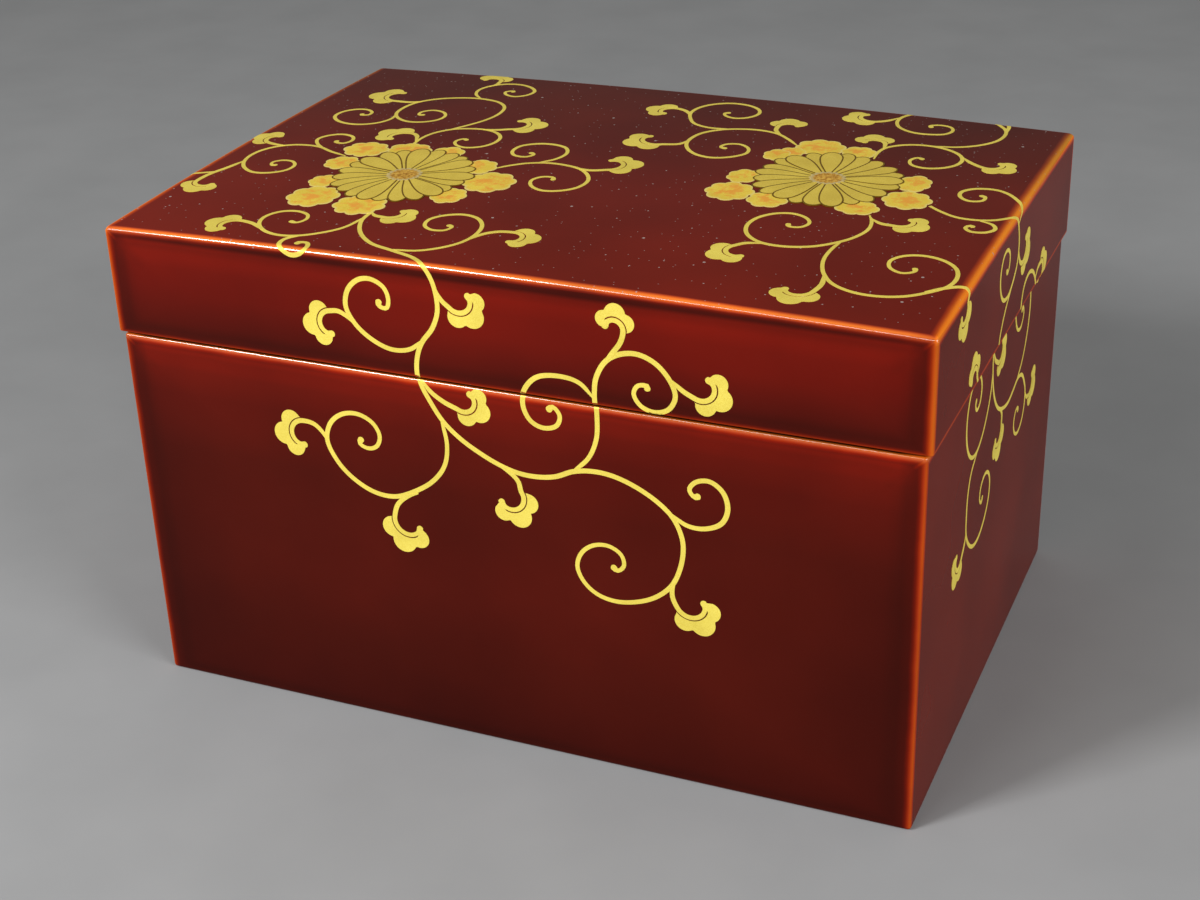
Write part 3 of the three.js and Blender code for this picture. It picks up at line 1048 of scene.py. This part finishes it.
# The lacquer's gloss: how far from a long upper arris it is full, where it has settled, and to what. The
# coat's index and roughness are a base and a rise by the gloss.
POLISHED = 0.7
SETTLED = 1.5
SETTLED_GLOSS = 0.42
COAT_INDEX = (1.05, 0.65)
COAT_ROUGHNESS = (-0.05, 0.2)


def lid_top_painted_light(finish, colour, half_y, on_top):
    """Painted light on the top: its own least tone, and its tone from front to back."""
    depth = finish.y / (2 * half_y) + 0.5
    colour = finish.mix(on_top, colour, TOP_PAINTED_LIGHT, "LIGHTEN")
    return finish.mix(on_top, colour, finish.ramp(depth, TOP_DEPTH_PAINTED_LIGHT), "MULTIPLY")


def dusted(finish, colour, on_top):
    """Specks of dust on the top."""
    for scale, reach, share, strength in DUST:
        speck = finish.add(
            "ShaderNodeTexVoronoi", {"Vector": finish.place, "Scale": scale}, voronoi_dimensions="2D",
        )
        near = finish.maths("LESS_THAN", speck["Distance"], reach * scale)
        pick = finish.add("ShaderNodeSeparateColor", {0: speck["Color"]})[0]
        chosen = near * finish.maths("LESS_THAN", pick, share) * on_top
        colour = finish.mix(chosen * strength, colour, DUST_COLOUR)
    return colour


def lacquer_material(name, half_x, half_y, low, high, crowned, widths, painted_light_by_height):
    """Clear brown lacquer: dark where it is thick, orange where it is thin over the arrises, and with
    painted light and shade: lighter towards the top of each side, on the ends and on the top, and dark in
    the seam."""
    finish = Finish(name)
    distance, from_long, from_end, from_upright, height = arris_distance(
        finish, half_x, half_y, low, high, crowned, widths,
    )
    distance = distance * finish.greys(finish.noise(0.09, 3.0), 0.3, 0.93, 0.7, 1.07) / TONE_SPAN
    colour = finish.ramp(distance, [(reach / TONE_SPAN, tone) for reach, tone in ARRIS_TONES])
    not_end = finish.mask(from_end, END_START, END_STOP)
    away = finish.mask(from_upright, HEIGHT_START, HEIGHT_FULL) * not_end
    # Painted light and shade by height: lighter towards the top of each side, and on the body dark in the
    # seam.
    colour = finish.mix(away, colour, finish.ramp(height, painted_light_by_height), "MULTIPLY")
    on_end = 1.0 - not_end
    # Painted light on the ends: their upper arris paler and their least tone lighter.
    if crowned:
        upper = finish.greys(height, UPPER_ARRIS[0], 0.0, UPPER_ARRIS[1], 1.0)
        colour = finish.mix(on_end * upper, colour, END_ARRIS_PAINTED_LIGHT, "MULTIPLY")
    colour = finish.mix(on_end, colour, END_PAINTED_LIGHT, "LIGHTEN")
    # Painted light on the top: a lighter least tone, less red towards the back.
    if crowned:
        on_top = finish.maths("GREATER_THAN", height, TOP_FACE)
        colour = lid_top_painted_light(finish, colour, half_y, on_top)
    cloudy = finish.ramp(finish.noise(0.018, 3.0), ((0.3, (0.82, 0.8, 0.8)), (0.7, (1.2, 1.16, 1.14))))
    colour = finish.mix(1.0, colour, cloudy, "MULTIPLY")
    if crowned:
        colour = dusted(finish, colour, on_top)
    gloss = finish.greys(
        from_long / TONE_SPAN, POLISHED / TONE_SPAN, 1.0, SETTLED / TONE_SPAN, SETTLED_GLOSS,
    )
    bump = finish.bump(0.05, 0.0004, finish.noise(0.03, 1.0))
    return finish.shade({
        "Base Color": colour,
        "Roughness": finish.greys(finish.noise(0.05, 4.0), 0.3, 0.3, 0.75, 0.42),
        "Normal": bump,
        "Coat Normal": bump,
        "Coat Weight": gloss,
        "Coat IOR": gloss * COAT_INDEX[1] + COAT_INDEX[0],
        "Coat Roughness": gloss * COAT_ROUGHNESS[1] + COAT_ROUGHNESS[0],
        "Specular IOR Level": 0.0,
    })


def gold_finish(name, low, high, grain):
    """Sprinkled gold powder: a fine grain of two tones, slightly matt."""
    finish = Finish(name)
    fine = finish.noise(grain, 2.0, 0.7)
    colour = finish.ramp(fine, ((0.35, low), (0.65, high)))
    broad = finish.ramp(finish.noise(0.12, 2.0), ((0.3, (0.92, 0.9, 0.86)), (0.7, (1.06,) * 3)))
    colour = finish.mix(1.0, colour, broad, "MULTIPLY")
    finish.shade({
        "Base Color": colour,
        "Roughness": finish.greys(fine, 0.3, 0.5, 0.7, 0.36),
        "Normal": finish.bump(0.25, 0.00006, fine),
        "Metallic": 0.25,
        "Specular IOR Level": 0.06,
    })
    return finish, colour


def flower_leaf_material():
    """Gold with orange clouds in it and a paler rim."""
    finish, colour = gold_finish("flower_leaf_gold", (0.92, 0.64, 0.05), (1.0, 0.79, 0.12), 3.0)
    inside = finish.add("ShaderNodeAttribute", attribute_name="tint")["Fac"]
    amount = finish.noise(0.42, 4.0, 0.65) + inside * 0.24
    amount = finish.greys(amount, 0.58, 0.0, 0.74, 0.9)
    colour = finish.mix(amount, colour, (1.0, 0.42, 0.055, 1.0))
    rim = finish.greys(inside, 0.02, 0.8, 0.12, 0.0)
    return finish.shade({"Base Color": finish.mix(rim, colour, (0.95, 0.8, 0.26, 1.0))})


def flower_middle_material():
    """A stippled orange-brown middle with a pale ring round it."""
    finish, colour = gold_finish("flower_middle_gold", (0.42, 0.17, 0.015), (0.92, 0.56, 0.09), 1.3)
    inside = finish.add("ShaderNodeAttribute", attribute_name="tint")["Fac"]
    border = finish.greys(inside, 0.14, 1.0, 0.24, 0.0)
    return finish.shade({"Base Color": finish.mix(border, colour, (0.66, 0.52, 0.22, 1.0))})


def floor_material():
    finish = Finish("floor_paper")
    colour = finish.ramp(
        finish.noise(0.02, 3.0), ((0.3, (0.33, 0.335, 0.34)), (0.7, (0.36, 0.365, 0.37))),
    )
    return finish.shade({"Base Color": colour, "Roughness": 0.85})


lid_lacquer = lacquer_material(
    "lid_lacquer", LID_X, LID_Y, LID_BOTTOM, LID_TOP, True, LID_WIDTHS, LID_HEIGHT_PAINTED_LIGHT,
)
body_lacquer = lacquer_material(
    "body_lacquer", BODY_X, BODY_Y, 0.0, RIM, False, BODY_WIDTHS, BODY_HEIGHT_PAINTED_LIGHT_AND_SHADE,
)
vine_gold = gold_finish("vine_gold", (0.85, 0.67, 0.09), (1.0, 0.84, 0.16), 5.0)[0].material
petal_gold = gold_finish("petal_gold", (0.72, 0.53, 0.06), (0.9, 0.69, 0.12), 4.0)[0].material
petal_line = gold_finish("petal_line", (0.13, 0.06, 0.004), (0.24, 0.14, 0.008), 3.0)[0].material
flower_leaf_gold = flower_leaf_material()
flower_middle_gold = flower_middle_material()

shells = {
    "lid": make_shell("lid_lacquer", lid_skins(), LID_TOP + crown_height(0, 0), lid_lacquer),
    "body": make_shell("body_lacquer", body_skins(), FLOOR, body_lacquer),
}
for part, obj in shells.items():
    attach(obj, "root")
    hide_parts(part)

lid_vines = Painting("lid_vines", "lid", vine_gold)
body_vines = Painting("body_vines", "body", vine_gold)
paint_lines((lid_vines,), "top", TOP_VINES, TOP_LEAVES, TOP_VINE_WIDTH)
paint_lines((lid_vines, body_vines), "front", FRONT_VINES, FRONT_LEAVES)
paint_lines((lid_vines, body_vines), "right", RIGHT_VINES, RIGHT_LEAVES, END_VINE_WIDTH)
paint_lines((lid_vines, body_vines), "back", *carried_over(BACK, FRONT_VINES, FRONT_LEAVES))
paint_lines(
    (lid_vines, body_vines), "left", *carried_over(LEFT, RIGHT_VINES, RIGHT_LEAVES), END_VINE_WIDTH,
)
flower_leaves = Painting("flower_leaves", "lid", flower_leaf_gold)
flower_petals = Painting("flower_petals", "lid", petal_gold)
flower_lines = Painting("flower_lines", "lid", petal_line)
flower_middles = Painting("flower_middles", "lid", flower_middle_gold)
source = random.Random(FLOWER_SEED)
for flower in FLOWERS:
    paint_flower(flower, flower_leaves, flower_petals, flower_lines, flower_middles, source)
for painting in (lid_vines, flower_leaves, flower_petals, flower_lines, flower_middles):
    painting.build("lid_lacquer")
body_vines.build("body_lacquer")

# Floor, light and camera.
FLOOR_REACH = 3000.0
floor_corners = [Vector((x, y, 0)) * FLOOR_REACH for x, y in ((-1, -1), (1, -1), (1, 1), (-1, 1))]
floor_normals = [Vector((0, 0, 1))] * len(floor_corners)
make_mesh("floor", floor_corners, [(0, 1, 2, 3)], floor_normals, floor_material())


def area_light(name, place, target, size, power):
    light = bpy.data.lights.new(name, "AREA")
    light.shape = "RECTANGLE"
    light.size, light.size_y = size
    light.energy = power
    obj = bpy.data.objects.new(name, light)
    obj.location = place
    obj.rotation_euler = (Vector(target) - Vector(place)).to_track_quat("-Z", "Y").to_euler()
    bpy.context.collection.objects.link(obj)


area_light("key", (-0.64, -0.95, 0.77), (0, -0.05, 0.1), (0.3, 0.24), 10.8)
area_light("key_spread", (-0.5, -0.97, 0.75), (0, -0.05, 0.1), (0.95, 0.16), 4.8)
area_light("side_fill", (1.3, -0.6, 0.6), (0, 0, 0.06), (0.8, 0.8), 14)

world = bpy.data.worlds.new("studio")
world.use_nodes = True
background = world.node_tree.nodes["Background"]
background.inputs[0].default_value = (0.84, 0.83, 0.81, 1)
background.inputs[1].default_value = 0.27
bpy.context.scene.world = world
bpy.context.scene.view_settings.view_transform = "Standard"

# The camera of the photograph, fitted to the box's edges in it.
CAMERA_PLACE = Vector((201.0, -466.2, 310.2))
CAMERA_TARGET = Vector((-5.1, 0, 50.7))
CAMERA_ROLL = math.radians(-2.0)
CAMERA_LENS = 60.8

camera_data = bpy.data.cameras.new("camera")
camera_data.lens = CAMERA_LENS
camera_data.sensor_width = 36
camera_data.clip_start = 0.01
camera = bpy.data.objects.new("camera", camera_data)
forward = (CAMERA_TARGET - CAMERA_PLACE).normalized()
right = forward.cross(Vector((0, 0, 1))).normalized()
upward = right.cross(forward)
rolled_right = right * math.cos(CAMERA_ROLL) + upward * math.sin(CAMERA_ROLL)
rolled_up = upward * math.cos(CAMERA_ROLL) - right * math.sin(CAMERA_ROLL)
turn = Matrix((rolled_right, rolled_up, -forward)).transposed()
camera.matrix_world = Matrix.Translation(CAMERA_PLACE * MM) @ turn.to_4x4()
bpy.context.collection.objects.link(camera)
bpy.context.scene.camera = camera
